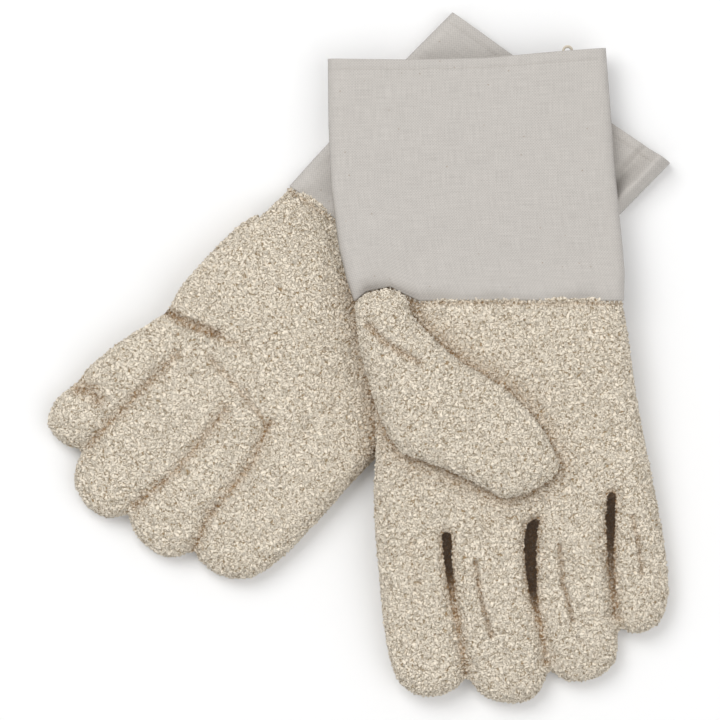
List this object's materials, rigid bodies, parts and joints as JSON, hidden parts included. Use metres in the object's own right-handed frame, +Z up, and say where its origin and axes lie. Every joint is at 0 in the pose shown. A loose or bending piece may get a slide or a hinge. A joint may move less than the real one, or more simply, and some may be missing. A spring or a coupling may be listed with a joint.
{
  "type": "pair of gauntlet gloves",
  "caption": "Pair of loop terry work gloves with long canvas gauntlet cuffs, laid crosswise, one back up and one palm up with its thumb folded in.",
  "frame": {"origin": "centre of the pair's footprint, on the surface it lies on", "axes": "+Z up; +Y towards the right glove's cuff mouth, whose fingers point roughly along -Y; +X towards the right glove's little-finger side"},
  "size_m": [0.3411, 0.3826, 0.054],
  "materials": {
    "terry": "looped cotton terry, loops outward",
    "canvas": "plain-woven unbleached cotton canvas",
    "thread": "overlocked cotton thread seam",
    "tape": "cotton tape"
  },
  "bodies": {
    "left_hand": {"left_palm": "terry", "left_back": "terry", "left_wrist_seam": "thread"},
    "left_cuff": {"left_cuff_front": "canvas", "left_cuff_back": "canvas", "left_cuff_hem": "canvas"},
    "left_index": {"left_index_back": "terry", "left_index_front": "terry"},
    "left_middle": {"left_middle_back": "terry", "left_middle_front": "terry", "left_middle_side": "terry"},
    "left_ring": {"left_ring_back": "terry", "left_ring_front": "terry", "left_ring_side": "terry"},
    "left_little": {"left_little_back": "terry", "left_little_front": "terry", "left_little_side": "terry"},
    "left_thumb": {"left_thumb_back": "terry", "left_thumb_front": "terry"},
    "right_hand": {"right_palm": "terry", "right_back": "terry", "right_wrist_seam": "thread"},
    "right_cuff": {"right_cuff_front": "canvas", "right_cuff_back": "canvas", "right_cuff_hem": "canvas", "right_hanging_loop": "tape"},
    "right_index": {"right_index_back": "terry", "right_index_front": "terry"},
    "right_middle": {"right_middle_back": "terry", "right_middle_front": "terry", "right_middle_side": "terry"},
    "right_ring": {"right_ring_back": "terry", "right_ring_front": "terry", "right_ring_side": "terry"},
    "right_little": {"right_little_back": "terry", "right_little_front": "terry", "right_little_side": "terry"},
    "right_thumb": {"right_thumb_back": "terry", "right_thumb_front": "terry"}
  },
  "joints": [
    {"name": "pair_lift", "type": "slide", "parent": "left_hand", "child": "right_hand", "axis": [0, 0, 1], "range_m": [0, 0.12]},
    {"name": "right_wrist_fold", "type": "hinge", "parent": "right_hand", "child": "right_cuff", "pos_m": [0.06885, 0.0297, 0.0335], "axis": [0.9994, 0.0087, -0.0339], "range_deg": [0, 75]},
    {"name": "left_wrist_fold", "type": "hinge", "parent": "left_hand", "child": "left_cuff", "pos_m": [0.01645, 0.0539, 0], "axis": [-0.8281, 0.5606, 0], "range_deg": [0, 45]},
    {"name": "right_index_fold", "type": "hinge", "parent": "right_hand", "child": "right_index", "pos_m": [0.02656, -0.10271, 0.02886], "axis": [-0.9726, -0.2317, 0.0196], "range_deg": [0, 80]},
    {"name": "right_middle_fold", "type": "hinge", "parent": "right_hand", "child": "right_middle", "pos_m": [0.0705, -0.09224, 0.02798], "axis": [-0.9726, -0.2317, 0.0196], "range_deg": [0, 80]},
    {"name": "right_ring_fold", "type": "hinge", "parent": "right_hand", "child": "right_ring", "pos_m": [0.11592, -0.08142, 0.02706], "axis": [-0.9726, -0.2317, 0.0196], "range_deg": [0, 80]},
    {"name": "right_little_fold", "type": "hinge", "parent": "right_hand", "child": "right_little", "pos_m": [0.14918, -0.07349, 0.0264], "axis": [-0.9726, -0.2317, 0.0196], "range_deg": [0, 80]},
    {"name": "left_index_fold", "type": "hinge", "parent": "left_hand", "child": "left_index", "pos_m": [-0.1068, 0.01451, 0.03005], "axis": [-0.7408, 0.6694, 0.0565], "range_deg": [0, 70]},
    {"name": "left_middle_fold", "type": "hinge", "parent": "left_hand", "child": "left_middle", "pos_m": [-0.08236, -0.00757, 0.02614], "axis": [-0.7407, 0.6693, 0.0591], "range_deg": [0, 70]},
    {"name": "left_ring_fold", "type": "hinge", "parent": "left_hand", "child": "left_ring", "pos_m": [-0.05888, -0.02879, 0.02423], "axis": [-0.7406, 0.6691, 0.0616], "range_deg": [0, 70]},
    {"name": "left_little_fold", "type": "hinge", "parent": "left_hand", "child": "left_little", "pos_m": [-0.02976, -0.0551, 0.02074], "axis": [-0.7404, 0.669, 0.0647], "range_deg": [0, 70]},
    {"name": "right_thumb_open", "type": "hinge", "parent": "right_hand", "child": "right_thumb", "pos_m": [0.00034, -0.01873, 0.03783], "axis": [0.104, -0.9894, -0.1015], "range_deg": [0, 150]},
    {"name": "left_thumb_open", "type": "hinge", "parent": "left_hand", "child": "left_thumb", "pos_m": [-0.0788, 0.05864, 0.0105], "axis": [0.7071, 0.7071, 0], "range_deg": [0, 180]}
  ]
}
